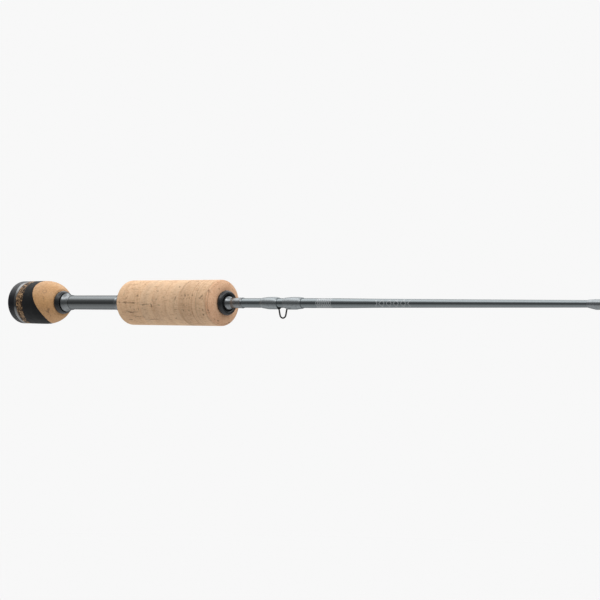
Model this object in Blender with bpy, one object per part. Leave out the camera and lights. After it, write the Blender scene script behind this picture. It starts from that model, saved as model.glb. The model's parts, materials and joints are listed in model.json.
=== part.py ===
"""Ice fishing rod with a split cork grip, as an assembly of separate pieces.

The rod lies along +X from butt to tip. The origin is the centre of the butt cap's flat end
face, +Z is up, and the line guides and the hook keeper hang below the blank (-Z).
Driving dimensions are in millimetres and become metres in mm().
"""

import math

import bmesh
import bpy
from mathutils import Vector

# ---- driving dimensions, millimetres ------------------------------------------------------
ROD_LENGTH = 711.0          # 28 in
FIT_GAP = 0.1               # glue line between two pieces that touch
BORE_GAP = 0.05             # slip fit between a turned piece and what it sits on

BUTT_RADIUS = 13.5          # rear end of the butt grip
BELLY_RADIUS = 13.65        # its fullest point
BELLY_START, BELLY_END = 6.0, 19.0
DOME_START = 23.5           # where the cork begins to round over
DOME_LENGTH = 18.4
BUTT_CORK_END = 38.1
CAP_ROUND = 1.2
CAP_SOCKET_FLOOR = 2.5

GRIP_RADIUS = 13.5
GRIP_START = 102.4
GRIP_END = 184.0
GRIP_REAR_ROUND = (3.1, 3.8)        # along the rod, across it
GRIP_FRONT_ROUND = (3.8, 6.8)
CORK_RINGS = 7                      # full rings; the rounded end ring is extra
END_RING_START = 180.6

TUBE_RADIUS = 4.38
TUBE_BORE = 3.3
TUBE_START, TUBE_END = CAP_SOCKET_FLOOR + FIT_GAP, 150.0

# Turned trim, each as (distance along the rod from its own face, radius)
REAR_CHECK = ((0.0, 7.0), (0.6, 7.3), (2.0, 7.2), (3.2, 6.75), (3.9, 6.15), (3.5, 5.75))
REAR_CONE = ((0.0, 5.1), (3.0, 5.75), (4.1, 5.25), (5.3, 4.85), (7.9, 4.6))
COLLAR = ((0.0, 4.5), (0.8, 4.58), (10.9, 4.58))
FORE_CHECK = ((0.0, 6.95), (0.5, 7.3), (1.4, 7.25), (2.4, 6.8), (2.9, 6.1), (2.8, 5.2), (2.0, 4.55), (0.9, 4.35))
FORE_WRAP = ((0.0, 4.2), (2.2, 4.1), (3.2, 3.55), (4.3, 3.2), (5.6, 3.05), (12.3, 3.05), (13.2, 3.17), (13.9, 2.85))
REAR_CHECK_RECESS = (2.0, 5.2)      # depth from the face, radius: room for the cone's root
FORE_CHECK_RECESS = 0.9
HANDLE_SIDES = 32
SLIM_SIDES = 24

BLANK_START = 100.0
BLANK_TIP = ROD_LENGTH - 1.0
# (distance from the butt, radius): straight under the grip, then a fast and a slow taper
BLANK_TAPER = ((BLANK_START, 2.74), (268.0, 2.74), (304.0, 2.42), (431.0, 1.88), (BLANK_TIP, 0.62))

# Each seam of the butt grip is cut on a curve: (middle, near side, top, saddle) in millimetres
SEAMS = {
    "cap_to_trim": (4.6, 1.8, 0.7, 0.0),
    "trim_to_burl": (7.6, 1.1, 2.2, -1.0),
    "burl_to_inlay": (11.7, 3.2, 2.7, -1.2),
    "inlay_to_cork": (25.9, 1.04, -2.6, -2.44),
}

# Hook keeper: a round wire whose two feet are ground flat under the thread
KEEPER_WIRE = 0.38
KEEPER_FOOT = (0.5, 0.2)            # half width, half height
KEEPER_FOOT_LENGTH = 8.0
KEEPER_LEGS = (227.2, 232.8)
KEEPER_DEPTH = 8.5                  # centre of the wire at the bottom of the loop
KEEPER_REAR_WRAP = (214.4, 225.9)
KEEPER_FRONT_WRAP = (234.1, 245.6)
KEEPER_WRAP_RADIUS = 3.55
KEEPER_TUNNEL = 0.55                # room for a foot under the thread

# Running guides: name -> (ring centre along the rod, ring bore radius, drop of the centre)
GUIDES = {
    "guide_2": (533.0, 3.4, 7.6),
    "guide_3": (602.0, 3.0, 6.4),
    "guide_4": (660.0, 3.0, 5.9),
}
STRIPPER = (457.6, 4.6, 10.4)
TIP_TOP = (ROD_LENGTH - 1.0, 2.1, 4.4)
RING_WALL = 0.8             # ceramic ring, radial thickness
HOLDER_WALL = 0.55          # metal holder round the ceramic
RING_LENGTH = 1.5
HOLDER_LENGTH = 1.1
STRUT = 0.42                # radius of a guide strut
FOOT_LENGTH = 9.0
FOOT_SETBACK = (3.4, 0.35)  # from the ring to the foot's root: fixed part, share of the drop
REAR_SPREAD, FRONT_SPREAD = 72, 30  # degrees from the holder's top to where a leg joins it
WRAP_OVERRUN = 3.2          # thread laid past the end of a foot
WRAP_COVER = 0.55           # thread and epoxy over the blank at a guide foot
FOOT_TUNNEL = 0.95          # room for the foot under the thread
TIP_TUBE_LENGTH, TIP_TUBE_WALL = 9.0, 0.35
TIP_STRUT = 0.36
TIP_WRAP = (14.0, 9.1)      # its ends, back from the blank's tip

# Bushes inside the handle: name -> (start, end); the last one carries the cork past the tube
ARBORS = {"rear_arbor": (103.0, 111.0), "middle_arbor": (137.0, 145.0)}


def mm(value):
    return value * 0.001


# ---- materials ----------------------------------------------------------------------------
def material(name, colour, roughness, metallic=0.0):
    made = bpy.data.materials.new(name)
    made.use_nodes = True
    shader = made.node_tree.nodes["Principled BSDF"]
    shader.inputs["Base Color"].default_value = (*colour, 1.0)
    shader.inputs["Roughness"].default_value = roughness
    shader.inputs["Metallic"].default_value = metallic
    made.diffuse_color = (*colour, 1.0)
    return made


def clear_scene():
    for old in list(bpy.data.objects):
        bpy.data.objects.remove(old, do_unlink=True)


# ---- shapes -------------------------------------------------------------------------------
def finish(name, shape, surface, smooth_angle=40.0):
    """Turn a bmesh into a named object with outward faces and one material."""
    bmesh.ops.remove_doubles(shape, verts=shape.verts, dist=1e-7)
    bmesh.ops.recalc_face_normals(shape, faces=shape.faces)
    mesh = bpy.data.meshes.new(name)
    shape.to_mesh(mesh)
    shape.free()
    mesh.shade_smooth()
    mesh.set_sharp_from_angle(angle=math.radians(smooth_angle))
    mesh.materials.append(surface)
    made = bpy.data.objects.new(name, mesh)
    bpy.context.scene.collection.objects.link(made)
    return made


def turned(name, profile, surface, sides=HANDLE_SIDES, drop=0.0):
    """A turned piece: the closed profile of (x, radius) points spun round the rod's line.

    drop lowers the spin axis below the rod's centre line, for the guide rings.
    """
    shape = bmesh.new()
    points = [shape.verts.new((mm(x), 0.0, mm(radius - drop))) for x, radius in profile]
    on_axis = [radius < 1e-6 for _, radius in profile]
    edges = []
    for index, start in enumerate(points):
        following = (index + 1) % len(points)
        if not (on_axis[index] and on_axis[following]):
            edges.append(shape.edges.new((start, points[following])))
    bmesh.ops.spin(
        shape, geom=points + edges, cent=(0.0, 0.0, mm(-drop)), axis=(1.0, 0.0, 0.0),
        angle=math.tau, steps=sides, use_merge=True,
    )
    return finish(name, shape, surface)


def tube_profile(outline, bore):
    """Close an outer (x, radius) outline with a straight bore of the given radius."""
    return [(outline[0][0], bore), *outline, (outline[-1][0], bore)]


def quarter_round(start, end, steps=4, bulge_first=True):
    """Points of a quarter ellipse from start to end, both (x, radius), without the start."""
    points = []
    for step in range(1, steps + 1):
        angle = math.pi / 2 * step / steps
        along, across = (math.sin(angle), 1 - math.cos(angle))
        if not bulge_first:
            along, across = across, along
        x = start[0] + (end[0] - start[0]) * along
        radius = start[1] + (end[1] - start[1]) * across
        points.append((x, radius))
    return points


def swept(name, path, surface, sides=6, widths=None):
    """A bent wire: an ellipse carried along the path. widths gives (half width, half height)."""
    shape = bmesh.new()
    points = [Vector(point) for point in path]
    widths = widths or [(STRUT, STRUT)] * len(points)
    rings = []
    across = None
    for index, point in enumerate(points):
        before = points[max(index - 1, 0)]
        after = points[min(index + 1, len(points) - 1)]
        ahead = (after - before).normalized()
        if across is None:
            across = ahead.cross(Vector((0.0, 0.0, 1.0)))
            if across.length < 1e-6:
                across = Vector((0.0, 1.0, 0.0))
        across = (across - ahead * across.dot(ahead)).normalized()
        upward = across.cross(ahead).normalized()
        half_width, half_height = widths[index]
        ring = []
        for side in range(sides):
            angle = math.tau * (side + 0.5) / sides
            offset = across * (half_width * math.cos(angle)) + upward * (half_height * math.sin(angle))
            ring.append(shape.verts.new((point + offset) * 0.001))
        rings.append(ring)
    for ring, following in zip(rings, rings[1:]):
        for side in range(sides):
            nearby = (side + 1) % sides
            shape.faces.new((ring[side], ring[nearby], following[nearby], following[side]))
    shape.faces.new(list(reversed(rings[0])))
    shape.faces.new(rings[-1])
    return finish(name, shape, surface)


def join_solids(base, others):
    """Weld helpers onto a base with exact Boolean unions; the helpers stay out of the model."""
    for other in others:
        other.hide_render = True
        other.display_type = "WIRE"
        weld = base.modifiers.new("weld_" + other.name, "BOOLEAN")
        weld.operation = "UNION"
        weld.solver = "EXACT"
        weld.object = other


def smooth_path(points, per_span=4):
    """Catmull-Rom points through a hand-laid route."""
    route = [Vector(point) for point in points]
    ends = [route[0] * 2 - route[1], *route, route[-1] * 2 - route[-2]]
    smooth = []
    for index in range(1, len(ends) - 2):
        a, b, c, d = ends[index - 1:index + 3]
        for step in range(per_span):
            t = step / per_span
            smooth.append(0.5 * (2 * b + (c - a) * t + (2 * a - 5 * b + 4 * c - d) * t ** 2
                                 + (3 * b - a - 3 * c + d) * t ** 3))
    smooth.append(route[-1])
    return smooth


# ---- profiles -----------------------------------------------------------------------------
def butt_radius(x):
    """Outside of the butt grip: nearly straight, a slight belly, then an elliptical dome."""
    if x > DOME_START:
        reach = min((x - DOME_START) / DOME_LENGTH, 1.0)
        return BELLY_RADIUS * math.sqrt(1 - reach * reach)
    swell = min(max((x - BELLY_START) / (BELLY_END - BELLY_START), 0.0), 1.0)
    return BUTT_RADIUS + (BELLY_RADIUS - BUTT_RADIUS) * swell


def blank_radius(x):
    for (x0, r0), (x1, r1) in zip(BLANK_TAPER, BLANK_TAPER[1:]):
        if x <= x1:
            return r0 + (r1 - r0) * (x - x0) / (x1 - x0)
    return BLANK_TAPER[-1][1]


def seam(name, angle, radius):
    """Where a butt grip seam lies along the rod, at an angle round it and a radius.

    Angle 0 is the -Y side and a quarter turn is the top. The cut runs flat to the centre.
    """
    middle, near, top, saddle = SEAMS[name]
    wave = near * math.cos(angle) + top * math.sin(angle) + saddle * math.sin(2 * angle)
    return middle + wave * radius / BUTT_RADIUS


# ---- butt grip ----------------------------------------------------------------------------
def butt_ring(name, surface, rear, front, rows, bore=TUBE_RADIUS + BORE_GAP):
    """A ring of the butt grip between two ends. An end is a seam's name or a plain x."""
    shape = bmesh.new()

    def end_x(end, side_gap, angle, radius):
        return (seam(end, angle, radius) if isinstance(end, str) else end) + side_gap

    def loop(place, radius_of=None):
        ring = []
        for side in range(HANDLE_SIDES):
            angle = math.tau * side / HANDLE_SIDES
            x = place(angle)
            radius = radius_of(x) if radius_of else bore
            ring.append(shape.verts.new((
                mm(x), mm(-radius * math.cos(angle)), mm(radius * math.sin(angle)))))
        return ring

    half_gap = FIT_GAP / 2
    rear_gap = half_gap if isinstance(rear, str) else 0.0
    front_gap = -half_gap if isinstance(front, str) else 0.0
    loops = []
    for row in range(rows + 1):
        part = row / rows
        loops.append(loop(
            lambda angle, part=part: (1 - part) * end_x(rear, rear_gap, angle, BUTT_RADIUS)
            + part * end_x(front, front_gap, angle, BUTT_RADIUS), butt_radius))
    loops.append(loop(lambda angle: end_x(front, front_gap, angle, bore)))
    loops.append(loop(lambda angle: end_x(rear, rear_gap, angle, bore)))
    for ring, following in zip(loops, loops[1:] + loops[:1]):
        for side in range(HANDLE_SIDES):
            nearby = (side + 1) % HANDLE_SIDES
            shape.faces.new((ring[side], ring[nearby], following[nearby], following[side]))
    return finish(name, shape, surface)


def butt_cap(surface):
    """Closed end cap with a rounded edge, a seam-cut front and a socket for the tube."""
    shape = bmesh.new()
    socket = TUBE_RADIUS + BORE_GAP
    stations = [(0.0, BUTT_RADIUS - CAP_ROUND)]
    stations += quarter_round(stations[0], (CAP_ROUND, BUTT_RADIUS), 3, bulge_first=False)

    def loop(place, radius):
        return [
            shape.verts.new((mm(place(angle)), mm(-radius * math.cos(angle)),
                             mm(radius * math.sin(angle))))
            for angle in (math.tau * side / HANDLE_SIDES for side in range(HANDLE_SIDES))
        ]

    front = -FIT_GAP / 2
    loops = [loop(lambda angle, x=x: x, radius) for x, radius in stations]
    loops.append(loop(lambda angle: seam("cap_to_trim", angle, BUTT_RADIUS) + front, BUTT_RADIUS))
    loops.append(loop(lambda angle: seam("cap_to_trim", angle, socket) + front, socket))
    loops.append(loop(lambda angle: CAP_SOCKET_FLOOR, socket))
    for ring, following in zip(loops, loops[1:]):
        for side in range(HANDLE_SIDES):
            nearby = (side + 1) % HANDLE_SIDES
            shape.faces.new((ring[side], ring[nearby], following[nearby], following[side]))
    shape.faces.new(loops[0])
    shape.faces.new(loops[-1])
    return finish("butt_cap", shape, surface)


def make_butt_grip(surfaces):
    butt_cap(surfaces["cap"])
    butt_ring("butt_trim_ring", surfaces["trim"], "cap_to_trim", "trim_to_burl", 2)
    butt_ring("burl_cork_ring", surfaces["burl"], "trim_to_burl", "burl_to_inlay", 2)
    butt_ring("grip_inlay", surfaces["rubber"], "burl_to_inlay", "inlay_to_cork", 4)
    butt_ring("butt_cork", surfaces["cork"], "inlay_to_cork", BUTT_CORK_END, 8)


# ---- handle -------------------------------------------------------------------------------
def placed(outline, start):
    """An outline of (distance, radius) points moved along the rod to its start."""
    return [(start + along, radius) for along, radius in outline]


def make_handle(surfaces):
    bore = TUBE_RADIUS + BORE_GAP
    face = BUTT_CORK_END + FIT_GAP
    recess, recess_radius = REAR_CHECK_RECESS
    turned("rear_winding_check",
           [(face, bore), *placed(REAR_CHECK, face), (face + recess, recess_radius), (face + recess, bore)],
           surfaces["rubber"])
    turned("rear_trim_cone", tube_profile(placed(REAR_CONE, face + recess + FIT_GAP), bore), surfaces["wrap"])
    turned("handle_tube", tube_profile([(TUBE_START, TUBE_RADIUS), (TUBE_END, TUBE_RADIUS)], TUBE_BORE),
           surfaces["tube"])
    collar_start = GRIP_START - FIT_GAP - COLLAR[-1][0]
    turned("tube_collar", tube_profile(placed(COLLAR, collar_start), bore), surfaces["wrap"])


def make_fore_grip(surfaces):
    bore = TUBE_RADIUS + BORE_GAP
    pitch = (END_RING_START - GRIP_START) / CORK_RINGS
    along, across = GRIP_REAR_ROUND
    for number in range(CORK_RINGS):
        start = GRIP_START + number * pitch + (FIT_GAP / 2 if number else 0.0)
        end = GRIP_START + (number + 1) * pitch - FIT_GAP / 2
        outline = [(start, GRIP_RADIUS), (end, GRIP_RADIUS)]
        if number == 0:
            edge = (start, GRIP_RADIUS - across)
            outline = [edge, *quarter_round(edge, (start + along, GRIP_RADIUS), 5, bulge_first=False),
                       (end, GRIP_RADIUS)]
        turned(f"fore_cork_{number + 1}", tube_profile(outline, bore), surfaces["cork"])
    along, across = GRIP_FRONT_ROUND
    start = END_RING_START + FIT_GAP / 2
    shoulder = max(GRIP_END - along, start + 0.01)
    outline = [(start, GRIP_RADIUS)]
    outline += quarter_round((shoulder, GRIP_RADIUS), (GRIP_END, GRIP_RADIUS - across), 7)
    turned("fore_cork_end_ring", tube_profile(outline, bore), surfaces["end_cork"])


def make_inner_bushes(surfaces):
    """Graphite bushes that centre the blank inside the tube and the cork."""
    inner = blank_radius(BLANK_START) + BORE_GAP
    for name, (start, end) in ARBORS.items():
        turned(name, tube_profile([(start, TUBE_BORE - BORE_GAP), (end, TUBE_BORE - BORE_GAP)], inner),
               surfaces["graphite"], SLIM_SIDES)
    turned("grip_arbor", tube_profile(
        [(TUBE_END + FIT_GAP, TUBE_RADIUS), (GRIP_END - 0.5, TUBE_RADIUS)], inner),
        surfaces["graphite"], SLIM_SIDES)


def make_front_trim(surfaces):
    face = GRIP_END + FIT_GAP
    inner = blank_radius(GRIP_END) + BORE_GAP
    turned("fore_winding_check",
           [(face, inner), *placed(FORE_CHECK, face), (face + FORE_CHECK_RECESS, inner)], surfaces["rubber"])
    start = face + FORE_CHECK_RECESS + FIT_GAP
    turned("fore_trim_wrap", tube_profile(placed(FORE_WRAP, start), inner), surfaces["wrap"], SLIM_SIDES)


# ---- blank, hook keeper and wraps ---------------------------------------------------------
def make_blank(surfaces):
    outline = [(BLANK_TAPER[0][0], 0.0), *BLANK_TAPER, (BLANK_TIP, 0.0)]
    turned("blank", outline, surfaces["blank"], SLIM_SIDES)


def whipping(name, surface, thin_end, thick_end, peak, tunnel=0.0):
    """Thread whipping under epoxy: a spindle round the blank that thickens towards a foot's root.

    tunnel is the depth of the groove under the blank that the foot lies in; it fades out
    before the thin end.
    """
    shape = bmesh.new()
    outside, inside = [], []

    def underside(angle):
        """1 straight below the blank, fading over a quarter turn."""
        return max(0.0, -math.sin(angle)) ** 4

    def loop(x, radius_of):
        angles = [math.tau * side / SLIM_SIDES for side in range(SLIM_SIDES)]
        return [
            shape.verts.new((mm(x), mm(-radius_of(angle) * math.cos(angle)),
                             mm(radius_of(angle) * math.sin(angle))))
            for angle in angles
        ]

    for part in (0.0, 0.2, 0.4, 0.65, 0.9, 1.0):
        x = thin_end + (thick_end - thin_end) * part
        bore = blank_radius(x) + BORE_GAP
        low = bore + 0.12
        rise = math.sin(math.pi / 2 * min(part / 0.65, 1.0)) - 0.3 * max(part - 0.65, 0.0) / 0.35
        depth = tunnel * min(part / 0.2, 1.0)

        def inner(angle, bore=bore, depth=depth):
            return bore + depth * underside(angle)

        def outer(angle, low=low, rise=rise, inner=inner):
            return max(low + (peak - low) * rise, inner(angle) + 0.15)

        outside.append(loop(x, outer))
        inside.append(loop(x, inner))
    loops = outside + inside[::-1]
    for ring, following in zip(loops, loops[1:] + loops[:1]):
        for side in range(SLIM_SIDES):
            nearby = (side + 1) % SLIM_SIDES
            shape.faces.new((ring[side], ring[nearby], following[nearby], following[side]))
    return finish(name, shape, surface)


def make_hook_keeper(surfaces):
    """A bent wire loop, open to the rod's sides, whipped on at both feet."""
    rear, front = KEEPER_LEGS
    under = -(blank_radius(rear) + BORE_GAP + KEEPER_FOOT[1] + 0.05)
    middle = (rear + front) / 2
    half = [(KEEPER_FOOT_LENGTH, under), (5.0, under), (1.6, under), (0.3, under - 0.55), (-0.1, -4.9), (-0.5, -6.6),
            (-1.15, -7.85)]     # distance outside the leg, height
    route = [(rear - out, 0, height) for out, height in half]
    route += [(middle, 0, -KEEPER_DEPTH)]
    route += [(front + out, 0, height) for out, height in reversed(half)]
    per_span = 3
    path = smooth_path(route, per_span)
    flat_until = 2 * per_span
    widths = []
    for index in range(len(path)):
        from_end = min(index, len(path) - 1 - index)
        roundness = min(max((from_end - flat_until) / per_span, 0.0), 1.0)
        widths.append(tuple(flat + (KEEPER_WIRE - flat) * roundness for flat in KEEPER_FOOT))
    swept("hook_keeper", path, surfaces["black_wire"], 8, widths)
    whipping("keeper_rear_wrap", surfaces["wrap"], *KEEPER_REAR_WRAP, KEEPER_WRAP_RADIUS, KEEPER_TUNNEL)
    whipping("keeper_front_wrap", surfaces["wrap"], KEEPER_FRONT_WRAP[1], KEEPER_FRONT_WRAP[0],
             KEEPER_WRAP_RADIUS, KEEPER_TUNNEL)


# ---- line guides --------------------------------------------------------------------------
def guide_ring(name, surface, x, bore, drop):
    """Ceramic ring with a rounded bore."""
    outer = bore + RING_WALL
    half = RING_LENGTH / 2
    section = [(x - half * 0.45, outer), (x + half * 0.45, outer), (x + half, bore + RING_WALL * 0.55),
               (x + half * 0.55, bore + 0.08), (x, bore), (x - half * 0.55, bore + 0.08),
               (x - half, bore + RING_WALL * 0.55)]
    turned(name, section, surface, SLIM_SIDES, drop)


def holder_radius(bore):
    """Outer radius of the metal holder round a ceramic ring."""
    return bore + RING_WALL + BORE_GAP + HOLDER_WALL


def holder(name, surface, x, bore, drop):
    outer = holder_radius(bore)
    inner = outer - HOLDER_WALL
    half = HOLDER_LENGTH / 2
    section = [(x - half, inner), (x - half, outer), (x + half, outer), (x + half, inner)]
    return turned(name, section, surface, SLIM_SIDES, drop)


def foot_root(x, drop, heading):
    """Where a foot's legs leave the blank."""
    fixed, share = FOOT_SETBACK
    return x + heading * (fixed + drop * share)


def foot_and_legs(prefix, surface, x, bore, drop, heading, spread):
    """One foot along the blank and two legs to the holder. heading is -1 to the butt, +1 to the tip."""
    reach = holder_radius(bore) + 0.1
    near = foot_root(x, drop, heading)
    under = -(blank_radius(near) + BORE_GAP + STRUT)
    foot_path = [(near + heading * FOOT_LENGTH, 0, under + 0.02), (near + heading * 3.0, 0, under),
                 (near, 0, under), (near - heading * 1.2, 0, under - 0.35)]
    pieces = [swept(prefix + "_foot", foot_path, surface, 6,
                    [(0.3, 0.14), (0.45, 0.3), (0.5, 0.36), (0.5, 0.36)])]
    for side in (-1, 1):
        angle = math.radians(spread)
        grip_point = (x, side * reach * math.sin(angle), -drop + reach * math.cos(angle))
        start = (near - heading * 0.2, side * 0.32, under - 0.02)
        middle = (near - heading * (1.6 + drop * 0.1), side * (0.4 + reach * math.sin(angle) * 0.35),
                  under + (grip_point[2] - under) * 0.42)
        path = smooth_path([start, middle, grip_point], 3)
        pieces.append(swept(f"{prefix}_leg_{'left' if side < 0 else 'right'}", path, surface, 6))
    return pieces


def make_guide(name, surfaces, x, bore, drop, headings=(-1,), spreads=(REAR_SPREAD,)):
    guide_ring(name + "_ring", surfaces["ceramic"], x, bore, drop)
    frame = holder(name + "_frame", surfaces["frame"], x, bore, drop)
    helpers = []
    for heading, spread in zip(headings, spreads):
        side_name = "rear" if heading < 0 else "front"
        helpers += foot_and_legs(f"{name}_{side_name}", surfaces["frame"], x, bore, drop, heading, spread)
        near = foot_root(x, drop, heading)
        outer_end = near + heading * (FOOT_LENGTH + WRAP_OVERRUN)
        whipping(f"{name}_{side_name}_wrap", surfaces["wrap"], outer_end, near + heading * 1.0,
                 blank_radius(x) + WRAP_COVER, FOOT_TUNNEL)
    join_solids(frame, helpers)


def make_tip_top(surfaces):
    """Tip guide: a tube over the blank's end, and a ring held below it on two struts."""
    x, bore, drop = TIP_TOP
    guide_ring("tip_top_ring", surfaces["ceramic"], x, bore, drop)
    frame = holder("tip_top_frame", surfaces["frame"], x, bore, drop)
    tube_start = BLANK_TIP - TIP_TUBE_LENGTH
    inner = blank_radius(tube_start) + BORE_GAP
    outer = inner + TIP_TUBE_WALL
    barrel = turned("tip_top_barrel", [
        (tube_start, inner), (tube_start, outer), (BLANK_TIP + 0.2, outer), (BLANK_TIP + 0.9, inner - 0.1),
        (BLANK_TIP + 0.9, 0.0), (BLANK_TIP + FIT_GAP, 0.0), (BLANK_TIP + FIT_GAP, inner)],
        surfaces["frame"], SLIM_SIDES)
    reach = holder_radius(bore) + 0.1
    helpers = [barrel]
    for side in (-1, 1):
        angle = math.radians(80)
        end = (x, side * reach * math.sin(angle), -drop + reach * math.cos(angle))
        start = (tube_start + 1.5, side * (inner + 0.42), -0.2)
        middle = (tube_start + 5.0, side * 1.75, -1.4)
        path = smooth_path([start, middle, end], 3)
        helpers.append(swept(f"tip_top_strut_{'left' if side < 0 else 'right'}", path,
                             surfaces["frame"], 6, [(TIP_STRUT, TIP_STRUT)] * len(path)))
    join_solids(frame, helpers)
    wrap_start, wrap_end = TIP_WRAP
    whipping("tip_top_wrap", surfaces["wrap"], BLANK_TIP - wrap_start, BLANK_TIP - wrap_end,
             blank_radius(BLANK_TIP) + 0.4)


def main():
    clear_scene()
    surfaces = {
        "cap": material("satin_black_cap", (0.02, 0.021, 0.023), 0.42, 0.6),
        "trim": material("polished_dark_trim", (0.10, 0.105, 0.11), 0.12, 0.9),
        "burl": material("burl_cork", (0.23, 0.12, 0.06), 0.6),
        "rubber": material("black_rubber", (0.012, 0.013, 0.014), 0.5),
        "cork": material("cork", (0.62, 0.40, 0.24), 0.75),
        "end_cork": material("end_cork", (0.66, 0.40, 0.26), 0.72),
        "wrap": material("epoxied_thread", (0.24, 0.26, 0.27), 0.15, 0.5),
        "tube": material("gunmetal_tube", (0.13, 0.14, 0.145), 0.22, 0.7),
        "blank": material("gunmetal_blank", (0.13, 0.14, 0.15), 0.16, 0.7),
        "graphite": material("graphite_arbor", (0.03, 0.03, 0.032), 0.55, 0.2),
        "black_wire": material("black_wire", (0.015, 0.015, 0.016), 0.3, 0.8),
        "frame": material("dark_guide_frame", (0.06, 0.062, 0.066), 0.25, 0.95),
        "ceramic": material("guide_ceramic", (0.03, 0.032, 0.036), 0.12),
    }
    make_butt_grip(surfaces)
    make_handle(surfaces)
    make_fore_grip(surfaces)
    make_inner_bushes(surfaces)
    make_front_trim(surfaces)
    make_blank(surfaces)
    make_hook_keeper(surfaces)
    make_guide("stripper", surfaces, *STRIPPER, headings=(-1, 1), spreads=(REAR_SPREAD, FRONT_SPREAD))
    for name, place in GUIDES.items():
        make_guide(name, surfaces, *place)
    make_tip_top(surfaces)


main()
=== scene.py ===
"""Looks of the ice fishing rod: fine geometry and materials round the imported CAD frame.

The rod lies along +X from butt to tip with its centre line on the X axis; lengths in metres.
"""

import json
import math

import bpy
import numpy as np
from mathutils import Matrix, Vector

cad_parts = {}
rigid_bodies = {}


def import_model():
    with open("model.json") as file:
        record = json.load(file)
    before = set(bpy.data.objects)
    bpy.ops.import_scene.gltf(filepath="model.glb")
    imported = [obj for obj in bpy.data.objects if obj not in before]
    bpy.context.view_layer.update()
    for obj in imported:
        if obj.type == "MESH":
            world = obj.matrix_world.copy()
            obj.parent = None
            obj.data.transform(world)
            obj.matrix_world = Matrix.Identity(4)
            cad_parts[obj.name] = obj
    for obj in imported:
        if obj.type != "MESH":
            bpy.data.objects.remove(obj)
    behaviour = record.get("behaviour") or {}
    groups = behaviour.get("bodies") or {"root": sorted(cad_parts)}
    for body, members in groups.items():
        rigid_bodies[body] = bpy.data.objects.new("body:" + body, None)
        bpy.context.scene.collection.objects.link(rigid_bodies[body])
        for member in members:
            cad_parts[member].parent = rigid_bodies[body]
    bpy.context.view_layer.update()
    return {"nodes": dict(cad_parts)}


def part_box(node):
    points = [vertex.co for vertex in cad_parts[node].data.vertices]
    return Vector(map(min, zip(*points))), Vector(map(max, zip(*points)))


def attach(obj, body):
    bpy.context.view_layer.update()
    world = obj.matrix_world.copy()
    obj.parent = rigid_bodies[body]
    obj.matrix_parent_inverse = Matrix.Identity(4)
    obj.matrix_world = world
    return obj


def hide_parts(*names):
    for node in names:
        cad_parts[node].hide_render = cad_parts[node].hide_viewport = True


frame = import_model()

MM = 0.001
RNG = np.random.default_rng(28)
ROOT = "root"

# ---- sizes that repeat the CAD design -----------------------------------------------------
BUTT_RADIUS, BELLY_RADIUS = 13.5 * MM, 13.65 * MM
BELLY_START, BELLY_END = 6.0 * MM, 19.0 * MM
DOME_START, DOME_LENGTH = 23.5 * MM, 18.4 * MM
GRIP_RADIUS = 13.5 * MM
TUBE_RADIUS = 4.38 * MM
BORE = TUBE_RADIUS + 0.05 * MM
SEAM_GAP, RING_GAP = 0.00004, 0.00003    # half the glue line at a curved seam and between cork rings
BLANK_TAPER = ((0.100, 0.00274), (0.268, 0.00274), (0.304, 0.00242), (0.431, 0.00188), (0.710, 0.00062))
# Butt grip seams: (middle, near side, top, saddle)
SEAMS = {
    "cap_to_trim": (4.6, 1.8, 0.7, 0.0),
    "trim_to_burl": (7.6, 1.1, 2.2, -1.0),
    "burl_to_inlay": (11.7, 3.2, 2.7, -1.2),
    "inlay_to_cork": (25.9, 1.04, -2.6, -2.44),
}
TAU = math.tau

# ---- studio -------------------------------------------------------------------------------
STUDIO_STRENGTH = 2.5
SOFTBOX_SIDE = (0.0, 0.1, 0.995)    # the side that the light comes from
# (cosine of the angle from that side, share of the full light)
SOFTBOX = ((-1.0, 0.03), (-0.5, 0.045), (-0.08, 0.05), (0.17, 0.08), (0.41, 0.18), (0.50, 0.42), (0.58, 0.66),
           (0.67, 0.90), (0.73, 1.02), (0.82, 0.72), (0.93, 0.42), (1.0, 0.38))

KEY_PLACE, KEY_TARGET = (0.4, -0.9, 1.1), (0.2, 0, 0)
BACKGROUND = 0.938                  # the white that the camera sees behind the rod


# ---- node materials -----------------------------------------------------------------------
def add_node(tree, kind, **settings):
    made = tree.nodes.new(kind)
    for key, value in settings.items():
        setattr(made, key, value)
    return made


def fill_ramp(ramp, stops):
    """Gives a colour ramp its stops: (place, grey value or colour)."""
    elements = ramp.color_ramp.elements
    while len(elements) < len(stops):
        elements.new(0.5)
    for element, (place, colour) in zip(elements, stops):
        element.position = place
        element.color = (*colour, 1.0) if hasattr(colour, "__len__") else (colour,) * 3 + (1.0,)


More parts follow.
